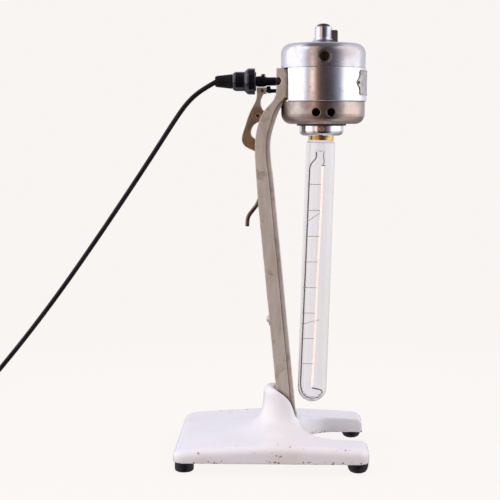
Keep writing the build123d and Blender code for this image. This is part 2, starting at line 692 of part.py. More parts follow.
def make_lampholder():
    """The screw lampholder, held up in the lower cap by its ring."""
    x = HOLDER_X
    disc = [(19.9, RING_TOP_Z), (25.3, RING_TOP_Z), (25.3, LOWER_Z), (19.9, LOWER_Z)]
    keep("gasket_disc", turned(x, disc))
    ring = [(14.8, RING_LOW_Z), (18.4, RING_LOW_Z), (20.6, RING_LOW_Z + 0.8), (22.2, RING_LOW_Z + 2.4),
            (RING_R, RING_LOW_Z + 4.4), (RING_R, RING_TOP_Z), (19.7, RING_TOP_Z), (19.7, RING_LOW_Z + 3.4),
            (14.8, RING_LOW_Z + 3.4)]
    z = RING_SCREW_Z
    seat = -RING_R + 0.4
    ring = turned(x, ring) - rod(1.3, (x, -30, z), (x, -19, z))
    keep("lampholder_ring", ring - rod(2.7, (x, -30, z), (x, seat, z)))
    screw = rod(1.3, (x, -RING_R, z), (x, -19.8, z)) + rod(2.7, (x, -RING_R - 1.2, z), (x, seat, z))
    screw -= block(x - 0.4, x + 0.4, -RING_R - 2, -RING_R - 0.6, z - 4, z + 4)
    keep("ring_screw", screw)
    top = HOLDER_TOP_Z
    low = RING_LOW_Z + 3.4
    body = turned(x, [(0, low), (19.6, low), (19.6, 348.2), (22.0, 348.2), (22.0, 351.4), (19.6, 351.4),
                      (19.6, top - 1.5), (18.1, top), (0, top)])
    bore = BULB_FRAME * rod(14.0, (0, 0, -5), (0, 0, 26.4))
    body -= bore
    for at in (x - TERMINAL_X, x + TERMINAL_X):
        body -= rod(2.0, (at, 0, top - 6), (at, 0, top + 1))
    keep("lampholder_body", body)
    shell = BULB_FRAME * tube(13.95, 13.4, (0, 0, 4.2), (0, 0, 26.3))
    keep("socket_shell", shell)
    contact = BULB_FRAME * (Pos(0, 0, 25.4) * Box(9, 5, 0.6) + rod(2.2, (0, 0, 25.6), (0, 0, 26.4)))
    keep("centre_contact", contact)
    screws = []
    for at in (x - TERMINAL_X, x + TERMINAL_X):
        screw = turned(at, [(0, top - 6), (1.95, top - 6), (1.95, top), (3.4, top), (3.4, top + 1.6),
                            (2.8, top + 2.2), (0, top + 2.2)])
        screws.append(screw - block(at - 0.4, at + 0.4, -5, 5, top + 1.4, top + 3))
    keep("terminal_screws", group(screws))


def make_inner_wires():
    """The two cores, from the stud to the push switch and the lampholder."""
    z = CONDUIT_Z
    top = HOLDER_TOP_Z + 2.2
    radius = 1.0
    supply = wire(radius, [(27.5, 0, z), (33, 0, z), (36.5, 0, 381), (HOLDER_X - TERMINAL_X, 0, top)])
    feed = wire(radius, [(27.5, 2.2, z + 1.2), (36, 3, z + 1.2), (44, 4, 393), (HOUSING_X - 4, 4, 398)])
    back = wire(radius, [(HOUSING_X + 4, 0, 398), (HOUSING_X + 6, 0, 388),
                         (HOLDER_X + TERMINAL_X, 0, 381), (HOLDER_X + TERMINAL_X, 0, top)])
    keep("inner_wires", group([supply, feed, back]))


def make_bulb():
    """The long glass with its stem, and the screw cap with plain rings for its thread."""
    end = -GLASS_LENGTH
    r, w = GLASS_R, GLASS_WALL
    centre = end + r
    steps = [radians(a) for a in range(0, 91, 10)]
    outer = [(r * cos(a), centre - r * sin(a)) for a in steps]
    inner = [((r - w) * cos(a), centre - (r - w) * sin(a)) for a in reversed(steps)]
    neck = [(12.4, 3.0), (12.4, -4.6), (13.2, -5.4), (14.4, -7.0), (r, -9.6)]
    neck_in = [(r - w, -9.8), (13.4, -7.4), (12.2, -6.0), (11.4, -4.8), (11.4, 3.0)]
    keep("bulb_glass", BULB_FRAME * turned(0, neck + outer + inner + neck_in))
    stem = turned(0, [(0, -16.6), (4.2, -15.6), (4.2, -3), (6.5, 1.2), (11.4, 2.0), (11.4, 3.0), (0, 3.0)])
    keep("bulb_stem", BULB_FRAME * stem)
    crest, root = 13.03, 12.3
    thread = [(crest, -4.6), (crest, 3.4)]
    for i in range(5):
        z = 4.2 + i * 3.6
        thread += [(root, z), (root, z + 0.7), (crest, z + 1.5), (crest, z + 2.1)]
    cap = thread + [(12.0, 22.4), (11.2, 22.4), (11.6, 20.5), (11.8, 3.1), (12.45, 3.1), (12.45, -4.6)]
    keep("bulb_cap", BULB_FRAME * turned(0, cap))
    button = [(0, 21.6), (11.1, 21.6), (11.1, 22.4), (6.0, 24.0), (0, 24.0)]
    keep("cap_insulator", BULB_FRAME * turned(0, button))
    contact = [(0, 24.0), (4.6, 24.0), (4.0, 24.6), (2.0, 24.8), (0, 24.8)]
    keep("cap_contact", BULB_FRAME * turned(0, contact))


def make_filament():
    """Inside the glass, in the bulb's own frame: x across, z along its axis."""
    rod_path = [(-4.2, 0, -16.8), (-3.8, 0, -23.0), (-10.4, 0, -30.5), (-12.2, 0, -262), (-9.8, 0, -271.5),
                (-0.5, 0, -276.0), (7.6, 0, -273.6), (11.4, 0, -268.8), (9.6, 0, -266.2), (0, 0, -264.4)]
    keep("support_rod", BULB_FRAME * wire(SUPPORT_R, rod_path))
    lead = wire(LEAD_WIRE_R, [(3.8, 0, -16.4), (3.1, 0, -21.6), (4.4, 0, -26.6), (3.0, 0, -30.6)])
    bar = rod(LEAD_WIRE_R, (1.6, 0, -30.8), (5.6, 0, -30.8))
    keep("short_lead", BULB_FRAME * (lead + bar))
    strand = [(2.6, 0, -31.3), (2.9, 0, -70), (1.8, 0, -140), (1.0, 0, -225), (0, 0, -263.5)]
    filament = rod(FILAMENT_R, strand[0], strand[1])
    for start, end in zip(strand[1:], strand[2:]):
        filament += rod(FILAMENT_R, start, end) + Pos(*start) * Sphere(FILAMENT_R)
    keep("filament", BULB_FRAME * filament)
    anchors = []
    for i in range(ANCHORS):
        z = -50.6 - ANCHOR_PITCH * i
        anchors.append(rod(ANCHOR_R, (-10.4, 0, z), (2.2 - 0.15 * i, 0, z + 0.2)))
    for start, end in (((-10.2, 0, -88.5), (1.9, 0, -79.6)), ((-11.4, 0, -196.6), (4.9, 0, -191.8))):
        anchors.append(rod(ANCHOR_R, start, end))
    keep("anchor_wires", BULB_FRAME * group(anchors))


# ---------------------------------------------------------------- cord

def make_cord():
    """The free run, and the length that is put away, as one ring with its two ends."""
    keep("cord", wire(CORD_D / 2, CORD_ROUTE))
    ring = Pos(COIL_X, COIL_Y, COIL_HEIGHT / 2) * (
        Cylinder(COIL_OUT_R, COIL_HEIGHT) - Cylinder(COIL_IN_R, COIL_HEIGHT))
    lead_in = rod(CORD_D / 2, (COIL_X, 0, CORD_D / 2), (COIL_X + LEAD_IN, 0, CORD_D / 2))
    tail_y = COIL_Y - LEAD_R
    lead_out = rod(CORD_D / 2, (COIL_X, tail_y, PLUG_Z), (COIL_X + LEAD_IN + 3, tail_y, PLUG_Z))
    keep("cord_coil", ring + lead_in + lead_out)


def make_plug():
    """A flat two-pin plug lying on its side beside the coil."""
    x, y = COIL_X + LEAD_IN + 3, COIL_Y - LEAD_R
    neck = Pos(x + 6, y, PLUG_Z) * Rot(0, 90, 0) * Cone(3.4, 5.6, 12)
    shell = block(x + 12, x + 38, y - 17, y + 17, 0.4, 2 * PLUG_Z - 0.4)
    shell = fillet(shell.edges().filter_by(Axis.X), 5.0)
    back = shell.edges().group_by(Axis.X)[0]
    shell = fillet(back, 2.5)
    keep("plug_body", shell + neck)
    pins = []
    for s in (-1, 1):
        pin = rod(2.0, (x + 38, y + s * 9.5, PLUG_Z), (x + 56, y + s * 9.5, PLUG_Z))
        pins.append(pin + Pos(x + 56, y + s * 9.5, PLUG_Z) * Sphere(2.0))
    keep("plug_pins", group(pins))


def build():
    """Every piece."""
    make_base()
    make_feet()
    make_post()
    make_post_fastenings()
    make_head_stud()
    make_connector()
    make_switch()
    make_lever()
    make_top_cap()
    make_brushes()
    make_band()
    make_lower_cap()
    make_through_bolts()
    make_nameplate()
    make_push_button()
    make_lampholder()
    make_inner_wires()
    make_bulb()
    make_filament()
    make_cord()
    make_plug()


build()
os.makedirs("parts", exist_ok=True)
for node, shape in pieces.items():
    export_step(shape, f"parts/{node}.step")
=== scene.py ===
"""Looks of the table lamp: materials, cord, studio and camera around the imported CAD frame."""

import json
from math import cos, pi, radians, sin

import bmesh
import bpy
from mathutils import Matrix, Vector, noise


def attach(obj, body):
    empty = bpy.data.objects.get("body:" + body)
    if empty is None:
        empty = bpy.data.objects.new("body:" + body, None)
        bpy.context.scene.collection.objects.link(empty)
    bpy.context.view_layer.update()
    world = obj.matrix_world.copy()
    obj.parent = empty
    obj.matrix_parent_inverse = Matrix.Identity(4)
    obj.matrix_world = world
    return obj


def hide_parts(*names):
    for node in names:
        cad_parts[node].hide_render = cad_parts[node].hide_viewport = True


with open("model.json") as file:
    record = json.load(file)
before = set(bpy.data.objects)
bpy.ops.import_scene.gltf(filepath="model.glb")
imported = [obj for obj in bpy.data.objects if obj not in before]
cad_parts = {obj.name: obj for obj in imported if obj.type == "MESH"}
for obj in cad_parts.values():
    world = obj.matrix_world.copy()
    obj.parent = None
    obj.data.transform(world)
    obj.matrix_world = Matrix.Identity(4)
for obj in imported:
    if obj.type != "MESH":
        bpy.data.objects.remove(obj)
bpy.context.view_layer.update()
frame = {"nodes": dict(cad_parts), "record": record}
nodes = frame["nodes"]
MM = 0.001


# ---------------------------------------------------------------- node material helpers

class Shader:
    """A procedural material, built by short calls on its node tree."""

    def __init__(self, name, color, roughness, metallic=0.0):
        self.material = bpy.data.materials.new(name)
        self.material.use_nodes = True
        self.nodes = self.material.node_tree.nodes
        self.links = self.material.node_tree.links
        self.bsdf = self.nodes["Principled BSDF"]
        self.set("Base Color", (*color, 1.0))
        self.set("Roughness", roughness)
        self.set("Metallic", metallic)
        self.place = self.nodes.new("ShaderNodeTexCoord").outputs["Object"]
        self.height = None

    def set(self, socket, value):
        self.bsdf.inputs[socket].default_value = value
        return self

    def join(self, source, target):
        self.links.new(source, target)

    def stretched(self, scale):
        """Object coordinates, scaled differently along each axis."""
        node = self.nodes.new("ShaderNodeMapping")
        node.inputs["Scale"].default_value = scale
        self.join(self.place, node.inputs["Vector"])
        return node.outputs["Vector"]

    def noise(self, scale, detail=4.0, roughness=0.55, stretch=None, distortion=0.0):
        node = self.nodes.new("ShaderNodeTexNoise")
        node.inputs["Scale"].default_value = scale
        node.inputs["Detail"].default_value = detail
        node.inputs["Roughness"].default_value = roughness
        node.inputs["Distortion"].default_value = distortion
        self.join(self.stretched(stretch) if stretch else self.place, node.inputs["Vector"])
        return node.outputs["Fac"]

    def cells(self, scale):
        """Distance from the nearest of many scattered points."""
        node = self.nodes.new("ShaderNodeTexVoronoi")
        node.inputs["Scale"].default_value = scale
        self.join(self.place, node.inputs["Vector"])
        return node.outputs["Distance"]

    def axis(self, index):
        node = self.nodes.new("ShaderNodeSeparateXYZ")
        self.join(self.place, node.inputs[0])
        return node.outputs[index]

    def math(self, operation, a, b=0.0):
        node = self.nodes.new("ShaderNodeMath")
        node.operation = operation
        for socket, value in zip(node.inputs, (a, b)):
            if isinstance(value, (int, float)):
                socket.default_value = value
            else:
                self.join(value, socket)
        return node.outputs[0]

    def step(self, value, low, high, out_low=0.0, out_high=1.0):
        """value mapped from low..high to out_low..out_high, clamped and smooth."""
        node = self.nodes.new("ShaderNodeMapRange")
        node.interpolation_type = "SMOOTHSTEP"
        self.join(value, node.inputs["Value"])
        limits = {"From Min": low, "From Max": high, "To Min": out_low, "To Max": out_high}
        for name, number in limits.items():
            node.inputs[name].default_value = number
        return node.outputs["Result"]

    def mix(self, factor, a, b):
        """Colour a where factor is 0 and b where it is 1."""
        node = self.nodes.new("ShaderNodeMix")
        node.data_type = "RGBA"
        self.join(factor, node.inputs["Factor"])
        for name, value in (("A", a), ("B", b)):
            socket = next(s for s in node.inputs if s.name == name and s.type == "RGBA")
            if isinstance(value, tuple):
                socket.default_value = (*value, 1.0)
            else:
                self.join(value, socket)
        return next(s for s in node.outputs if s.type == "RGBA")

    def color(self, source):
        self.join(source, self.bsdf.inputs["Base Color"])
        return self

    def rough(self, source):
        self.join(source, self.bsdf.inputs["Roughness"])
        return self

    def crevice(self, distance, low=0.45, high=0.95):
        """1 deep in corners, 0 in the open."""
        node = self.nodes.new("ShaderNodeAmbientOcclusion")
        node.samples = 8
        node.inputs["Distance"].default_value = distance
        return self.step(node.outputs["AO"], low, high, 1.0, 0.0)

    def worn_edge(self, radius, low=0.004, high=0.05):
        """1 along sharp outer and inner edges, 0 on flat faces."""
        bevel = self.nodes.new("ShaderNodeBevel")
        bevel.samples = 6
        bevel.inputs["Radius"].default_value = radius
        geometry = self.nodes.new("ShaderNodeNewGeometry")
        dot = self.nodes.new("ShaderNodeVectorMath")
        dot.operation = "DOT_PRODUCT"
        self.join(bevel.outputs["Normal"], dot.inputs[0])
        self.join(geometry.outputs["Normal"], dot.inputs[1])
        return self.step(dot.outputs["Value"], 1.0 - high, 1.0 - low, 1.0, 0.0)

    def bump(self, source, distance, strength=1.0, soft_edge=None):
        """Adds relief of that height in metres; soft_edge also rounds the shading of edges."""
        node = self.nodes.new("ShaderNodeBump")
        node.inputs["Strength"].default_value = strength
        node.inputs["Distance"].default_value = distance
        self.join(source, node.inputs["Height"])
        if self.height is not None:
            self.join(self.height, node.inputs["Normal"])
        elif soft_edge:
            bevel = self.nodes.new("ShaderNodeBevel")
            bevel.samples = 6
            bevel.inputs["Radius"].default_value = soft_edge
            self.join(bevel.outputs["Normal"], node.inputs["Normal"])
        self.height = node.outputs["Normal"]
        self.join(self.height, self.bsdf.inputs["Normal"])
        return self


# ---------------------------------------------------------------- materials

def white_enamel():
    s = Shader("white_enamel", (0.86, 0.85, 0.85), 0.16)
    s.set("Coat Weight", 0.5).set("Coat Roughness", 0.08)
    tint = s.mix(s.step(s.noise(9.0, 3.0), 0.35, 0.7), (0.82, 0.805, 0.83), (0.81, 0.76, 0.765))
    stain = s.math("MULTIPLY", s.step(s.noise(34.0, 5.0), 0.50, 0.72), s.step(s.axis(2), 0.034, 0.014))
    tint = s.mix(s.math("MULTIPLY", stain, 0.45), tint, (0.74, 0.63, 0.56))
    fine = s.step(s.noise(120.0, 6.0, 0.7), 0.50, 0.72)
    tint = s.mix(s.math("MULTIPLY", fine, 0.12), tint, (0.62, 0.54, 0.50))
    sides = s.step(s.math("ABSOLUTE", s.axis(1)), 0.064, 0.074)
    rim = s.math("MULTIPLY", sides, s.step(s.axis(2), 0.0175, 0.0205))
    low_edge = s.step(s.axis(2), 0.0165, 0.0125)
    dots = s.math("MULTIPLY", s.step(s.cells(260.0), 0.32, 0.20), s.step(s.noise(38.0, 3.0), 0.42, 0.52))
    rim_dots = s.step(s.cells(210.0), 0.26, 0.15)
    rim_dots = s.math("MULTIPLY", rim_dots, s.step(s.noise(33.0, 3.0), 0.50, 0.57))
    chips = s.math("MAXIMUM", s.math("MULTIPLY", dots, low_edge), s.math("MULTIPLY", rim_dots, rim))
    far_dots = s.math("MULTIPLY", s.step(s.cells(70.0), 0.10, 0.06), s.step(s.noise(23.0, 2.0), 0.51, 0.56))
    chips = s.math("MAXIMUM", chips, s.math("MULTIPLY", far_dots, s.step(s.axis(2), 0.05, 0.03)))
    s.color(s.mix(chips, tint, (0.12, 0.060, 0.035)))
    s.rough(s.step(chips, 0.0, 1.0, 0.18, 0.7))
    s.bump(s.noise(26.0, 2.0), 0.0006, 0.35)
    s.bump(chips, 0.0004, -0.8)
    return s.material


BAND_TOP = 0.4024       # the polished band ends here and the duller cap begins


def polished_nickel():
    s = Shader("polished_nickel", (0.74, 0.74, 0.77), 0.2, 1.0)
    cap = s.step(s.axis(2), BAND_TOP - 0.0002, BAND_TOP + 0.0002)
    cloud = s.step(s.noise(24.0, 5.0, 0.65, distortion=0.4), 0.38, 0.70)
    bright = s.mix(cloud, (0.76, 0.76, 0.79), (0.66, 0.63, 0.62))
    dull = s.mix(cloud, (0.62, 0.62, 0.67), (0.46, 0.41, 0.40))
    tint = s.mix(cap, bright, dull)
    fog = s.math("MULTIPLY", s.step(s.noise(70.0, 5.0, 0.6), 0.50, 0.68), 0.45)
    tint = s.mix(fog, tint, (0.50, 0.44, 0.43))
    # painted shade: the ambient-occlusion mask darkens the corners and crevices towards dark brown
    shade_and_grime = s.crevice(0.004, 0.35, 0.95)
    tint = s.mix(s.math("MULTIPLY", shade_and_grime, 0.8), tint, (0.12, 0.08, 0.06))
    pits = s.math("MULTIPLY", s.step(s.cells(210.0), 0.15, 0.06), s.step(s.noise(30.0, 2.0), 0.50, 0.60))
    s.color(s.mix(s.math("MULTIPLY", pits, 0.75), tint, (0.20, 0.17, 0.16)))
    turned = s.noise(1.0, 3.0, 0.6, stretch=(14.0, 14.0, 900.0))
    worn = s.math("ADD", s.math("MULTIPLY", cloud, 0.5), s.math("MULTIPLY", turned, 0.5))
    s.rough(s.math("ADD", s.step(worn, 0.2, 0.8, 0.15, 0.28), s.math("MULTIPLY", cap, 0.05)))
    s.bump(turned, 0.00002, 0.5, soft_edge=0.0006)
    s.bump(s.noise(150.0, 3.0), 0.00006, 0.3)
    s.bump(pits, 0.00015, -0.6)
    return s.material


def dull_nickel():
    s = Shader("dull_nickel", (0.50, 0.44, 0.41), 0.42, 1.0)
    mottle = s.step(s.noise(45.0, 6.0, 0.65), 0.36, 0.68)
    tint = s.mix(mottle, (0.52, 0.45, 0.42), (0.32, 0.255, 0.22))
    patch = s.step(s.noise(17.0, 4.0), 0.50, 0.66)
    tint = s.mix(s.math("MULTIPLY", patch, 0.6), tint, (0.52, 0.38, 0.30))
    spots = s.math("MULTIPLY", s.step(s.cells(260.0), 0.20, 0.08), s.step(s.noise(60.0, 2.0), 0.52, 0.62))
    tint = s.mix(s.math("MULTIPLY", spots, 0.6), tint, (0.16, 0.11, 0.08))
    # painted shade: the ambient-occlusion mask darkens the holes and corners almost to black
    shade_and_grime = s.crevice(0.008, 0.35, 0.98)
    s.color(s.mix(s.math("MULTIPLY", shade_and_grime, 0.9), tint, (0.06, 0.038, 0.026)))
    s.rough(s.step(mottle, 0.0, 1.0, 0.26, 0.38))
    s.bump(s.noise(500.0, 4.0), 0.00004, 0.45, soft_edge=0.0008)
    return s.material


def post_nickel():
    s = Shader("post_nickel", (0.52, 0.45, 0.41), 0.42, 0.35)
    streak = s.step(s.noise(1.0, 6.0, 0.65, stretch=(90.0, 60.0, 16.0)), 0.36, 0.68)
    tint = s.mix(streak, (0.68, 0.605, 0.53), (0.50, 0.42, 0.34))
    blotch = s.step(s.noise(55.0, 7.0, 0.62, distortion=0.6), 0.52, 0.66)
    tint = s.mix(s.math("MULTIPLY", blotch, 0.6), tint, (0.33, 0.235, 0.16))
    cool = s.step(s.noise(21.0, 3.0), 0.48, 0.68)
    tint = s.mix(s.math("MULTIPLY", cool, 0.4), tint, (0.60, 0.55, 0.56))
    bare = s.math("MULTIPLY", s.worn_edge(0.0018, 0.02, 0.2), s.step(s.noise(70.0, 3.0), 0.36, 0.50))
    tint = s.mix(s.math("MULTIPLY", bare, 0.9), tint, (0.94, 0.91, 0.88))
    # painted shade and grime: the ambient-occlusion mask darkens the corners brown and makes them rougher
    corner = s.crevice(0.0045, 0.45, 0.97)
    shade_and_grime = s.math("MULTIPLY", corner, s.step(s.noise(38.0, 4.0), 0.25, 0.55, 0.6, 1.0))
    s.color(s.mix(shade_and_grime, tint, (0.10, 0.058, 0.030)))
    s.rough(s.step(s.math("MAXIMUM", streak, shade_and_grime), 0.0, 1.0, 0.34, 0.6))
    s.bump(s.noise(240.0, 5.0, 0.65), 0.00010, 0.5, soft_edge=0.0011)
    s.bump(blotch, 0.00008, -0.5)
    return s.material


def worn_bronze():
    s = Shader("worn_bronze", (0.27, 0.185, 0.105), 0.4, 0.5)
    mottle = s.step(s.noise(70.0, 6.0, 0.65), 0.36, 0.68)
    tint = s.mix(mottle, (0.34, 0.215, 0.12), (0.16, 0.095, 0.058))
    grey = s.step(s.noise(26.0, 3.0), 0.48, 0.62)
    tint = s.mix(s.math("MULTIPLY", grey, 0.7), tint, (0.36, 0.29, 0.255))
    arm = s.step(s.axis(2), 0.358, 0.368)
    tint = s.mix(s.math("MULTIPLY", arm, 0.7), tint, (0.44, 0.385, 0.33))
    edge = s.worn_edge(0.0022, 0.02, 0.2)
    tint = s.mix(s.math("MULTIPLY", edge, 0.8), tint, (0.76, 0.66, 0.54))
    # painted shade: the ambient-occlusion mask darkens the corners almost to black
    s.color(s.mix(s.crevice(0.003, 0.3, 0.9), tint, (0.05, 0.03, 0.02)))
    s.rough(s.step(mottle, 0.0, 1.0, 0.34, 0.55))
    s.bump(s.noise(320.0, 5.0, 0.6), 0.00008, 0.5, soft_edge=0.0012)
    return s.material


def metal(name, light, dark, roughness, scale, soft):
    """A small metal fitting with clouded tone, painted shade in its corners and fine scratches."""
    s = Shader(name, light, roughness, 1.0)
    cloud = s.step(s.noise(scale, 4.0), 0.38, 0.66)
    tint = s.mix(cloud, light, dark)
    # painted shade: the ambient-occlusion mask darkens the corners almost to black
    s.color(s.mix(s.math("MULTIPLY", s.crevice(0.002, 0.3, 0.9), 0.8), tint, (0.05, 0.035, 0.025)))
    s.rough(s.step(cloud, 0.0, 1.0, roughness * 0.85, min(1.0, roughness * 1.35)))
    s.bump(s.noise(700.0, 3.0), 0.00002, 0.5, soft_edge=soft)
    return s.material


def plastic(name, base, speck, roughness, grain, depth, shine):
    """A moulded part: faint tone change, surface grain and dust in its corners."""
    s = Shader(name, base, roughness)
    s.set("Specular IOR Level", shine)
    tone = s.mix(s.step(s.noise(90.0, 4.0), 0.40, 0.70), base, speck)
    dust = s.math("MULTIPLY", s.crevice(0.0015, 0.2, 0.85), 0.06)
    s.color(s.mix(dust, tone, (0.10, 0.085, 0.08)))
    s.rough(s.step(s.noise(160.0, 3.0), 0.3, 0.7, roughness * 0.8, min(1.0, roughness * 1.3)))
    s.bump(s.noise(grain, 3.0), depth, 0.6, soft_edge=0.0005)
    return s.material


def blown_glass(name, tint, roughness, waves):
    """Clear glass with the slight waviness of a drawn tube."""
    s = Shader(name, tint, roughness)
    s.set("Transmission Weight", 1.0).set("IOR", 1.46)
    faint = tuple(c * 0.985 for c in tint)
    s.color(s.mix(s.step(s.noise(30.0, 2.0), 0.4, 0.7), tint, faint))
    s.bump(s.noise(1.0, 2.0, 0.5, stretch=(60.0, 60.0, 9.0)), waves, 0.5)
    return s.material


def glowing_strand():
    # the emission paints a faint pale glow on the carbon strand
    s = Shader("glowing_carbon_strand", (0.80, 0.56, 0.42), 0.6)
    s.set("Emission Strength", 0.82)
    tone = s.mix(s.step(s.noise(300.0, 2.0), 0.35, 0.7), (1.0, 0.83, 0.73), (0.90, 0.69, 0.57))
    s.color(tone)
    s.join(tone, s.bsdf.inputs["Emission Color"])
    return s.material


def flex_sheath():
    s = Shader("flex_sheath", (0.012, 0.012, 0.016), 0.34)
    s.set("Specular IOR Level", 0.25)
    tone = s.mix(s.step(s.noise(55.0, 4.0), 0.4, 0.7), (0.004, 0.004, 0.007), (0.013, 0.012, 0.015))
    s.color(tone)
    s.rough(s.step(s.noise(140.0, 3.0), 0.3, 0.7, 0.28, 0.46))
    s.bump(s.noise(900.0, 2.0), 0.00002, 0.5)
    return s.material


def rubber():
    s = Shader("foot_rubber", (0.018, 0.018, 0.022), 0.5)
    s.set("Specular IOR Level", 0.3)
    dust = s.step(s.noise(110.0, 5.0), 0.50, 0.72)
    s.color(s.mix(s.math("MULTIPLY", dust, 0.35), (0.008, 0.008, 0.012), (0.05, 0.047, 0.045)))
    s.rough(s.step(dust, 0.0, 1.0, 0.42, 0.66))
    s.bump(s.noise(500.0, 4.0), 0.00005, 0.6, soft_edge=0.0008)
    return s.material


def nameplate_metal():
    s = Shader("plate_metal", (0.46, 0.43, 0.40), 0.38, 0.9)
    worn = s.step(s.noise(150.0, 5.0), 0.42, 0.64)
    tint = s.mix(worn, (0.50, 0.47, 0.44), (0.33, 0.30, 0.27))
    tint = s.mix(s.math("MULTIPLY", s.worn_edge(0.0005, 0.02, 0.3), 0.7), tint, (0.78, 0.72, 0.66))
    # painted shade: the ambient-occlusion mask darkens the corners towards dark brown
    s.color(s.mix(s.crevice(0.0012, 0.3, 0.9), tint, (0.10, 0.07, 0.05)))
    s.bump(s.noise(500.0, 4.0), 0.00005, 0.6, soft_edge=0.0003)
    return s.material


MOULDED = {
    # slot: colour, colour of the specks, roughness, scale and depth of the grain, shine
    "bakelite": ((0.002, 0.002, 0.006), (0.005, 0.004, 0.009), 0.10, 200.0, 0.00003, 0.75),
    "black_moulded": ((0.003, 0.003, 0.007), (0.009, 0.008, 0.012), 0.30, 700.0, 0.00004, 0.22),
    "brown_moulded": ((0.012, 0.006, 0.004), (0.03, 0.015, 0.010), 0.45, 500.0, 0.00004, 0.12),
    "fibre": ((0.035, 0.030, 0.028), (0.07, 0.06, 0.05), 0.60, 500.0, 0.00006, 0.50),
    "wire_insulation": ((0.22, 0.05, 0.035), (0.30, 0.08, 0.05), 0.45, 700.0, 0.00003, 0.50),
}
FITTINGS = {
    # slot: light tone, dark tone, roughness, scale of the clouding, rounding of edges
    "dark_steel": ((0.20, 0.14, 0.105), (0.09, 0.06, 0.045), 0.38, 120.0, 0.0004),
    "steel": ((0.58, 0.57, 0.55), (0.40, 0.38, 0.35), 0.34, 120.0, 0.0004),
    "chrome": ((0.80, 0.79, 0.79), (0.62, 0.58, 0.55), 0.10, 60.0, 0.0004),
    "brass": ((0.66, 0.42, 0.15), (0.42, 0.25, 0.08), 0.28, 120.0, 0.0004),
    "lead_wire": ((0.20, 0.18, 0.17), (0.10, 0.085, 0.08), 0.40, 300.0, 0.0001),
}


def make_materials():
    """One material for each slot of the record."""
    made = {
        "white_enamel": white_enamel(),
        "foot_rubber": rubber(),
        "post_nickel": post_nickel(),
        "bright_nickel": polished_nickel(),
        "dull_nickel": dull_nickel(),
        "bronze": worn_bronze(),
        "plate_metal": nameplate_metal(),
        "clear_glass": blown_glass("clear_glass", (0.908, 0.900, 0.928), 0.0, 0.00004),
        "stem_glass": blown_glass("stem_glass", (0.97, 0.97, 1.0), 0.04, 0.0003),
        "filament_carbon": glowing_strand(),
        "cord_black": flex_sheath(),
    }
    made.update({slot: plastic(slot, *look) for slot, look in MOULDED.items()})
    made.update({slot: metal(slot, *look) for slot, look in FITTINGS.items()})
    return made


materials = make_materials()


def paint(obj, slot):
    obj.data.materials.clear()
    obj.data.materials.append(materials[slot])


def dress_cad():
    """Every CAD node gets its slot's material and smooth shading between its edges."""
    for row in frame["record"]["subparts"]:
        obj = nodes[row["node"]]
        paint(obj, row["material_slot"])
        obj.data.shade_smooth()
        obj.data.set_sharp_from_angle(angle=radians(35))


dress_cad()


# ---------------------------------------------------------------- cord

CORD_D = 0.005
COIL_X, COIL_Y = -0.415, -0.038
LEAD_R = 0.038
LEAD_IN = 0.021
PLUG_Z = 0.0076
CORD_ROUTE = [
    (-0.0550, 0.0, 0.3906),
    (-0.0675, 0.0, 0.3840),
    (-0.0820, 0.0, 0.3738),
    (-0.0945, 0.0, 0.3594),
    (-0.1200, 0.0, 0.3200),
    (-0.1510, 0.0, 0.2735),
    (-0.1870, 0.0, 0.2210),
    (-0.2240, 0.0, 0.1690),
    (-0.2620, 0.0, 0.1195),
    (-0.2970, 0.0, 0.0775),
    (-0.3210, 0.0, 0.0485),
    (-0.3380, 0.0, 0.0295),
    (-0.3515, 0.0, 0.0165),
    (-0.3625, 0.0, 0.0083),
    (-0.3730, 0.0, 0.0040),
    (-0.3835, 0.0, 0.0025),
    (COIL_X + LEAD_IN, 0.0, 0.0025),
]
TURN_POINTS = 24
LOWER_TURNS = 3.0       # wound inwards on the floor
CLIMB_TURNS = 0.4       # up on to the lower layer
ALL_TURNS = 6.5         # the rest is wound outwards on top


def coil_points():
    """Two flat layers of turns, a cord's diameter apart each way."""
    points = []
    for i in range(1, round(ALL_TURNS * TURN_POINTS) + 1):
        turn = i / TURN_POINTS
        lower_r = LEAD_R - CORD_D * turn
        upper_r = LEAD_R - CORD_D * (ALL_TURNS - turn)
        climb = min(max((turn - LOWER_TURNS) / CLIMB_TURNS, 0.0), 1.0)
        r = lower_r + (upper_r - lower_r) * climb
        z = CORD_D / 2 + (PLUG_Z - CORD_D / 2) * climb
        angle = pi / 2 + 2 * pi * turn
        points.append((COIL_X + r * cos(angle), COIL_Y + r * sin(angle), z))
    return points


def make_cord():
    lead_y = COIL_Y - LEAD_R
    lead_out = [(COIL_X + 0.010, lead_y, PLUG_Z), (COIL_X + LEAD_IN + 0.003, lead_y, PLUG_Z)]
    lead_in = [(COIL_X + 0.008, 0.0, CORD_D / 2), (COIL_X, 0.0, CORD_D / 2)]
    route = CORD_ROUTE + lead_in + coil_points() + lead_out
    curve = bpy.data.curves.new("cord_flex", "CURVE")
    curve.dimensions = "3D"
    curve.bevel_depth = CORD_D / 2
    curve.bevel_resolution = 6
    curve.resolution_u = 10
    curve.use_fill_caps = True
    spline = curve.splines.new("NURBS")
    spline.points.add(len(route) - 1)
    for point, place in zip(spline.points, route):
        point.co = (*place, 1.0)
    spline.order_u = 3
    spline.use_endpoint_u = True
    cord = bpy.data.objects.new("cord_flex", curve)
    bpy.context.scene.collection.objects.link(cord)
    paint(cord, "cord_black")
    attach(cord, "lamp_stand")
    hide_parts("cord", "cord_coil")


make_cord()


# ---------------------------------------------------------------- enamelled base

BOSS_X = 0.012
NOTCH_X, NOTCH_R = 0.072, 0.047


def ease(value, low, high):
    t = min(max((value - low) / (high - low), 0.0), 1.0)
    return t * t * (3 - 2 * t)


def notch_gap(x, y):
    """Distance from the wall of the space between the legs."""
    across = abs(y) if x > NOTCH_X else Vector((x - NOTCH_X, y)).length
    return abs(across - NOTCH_R)


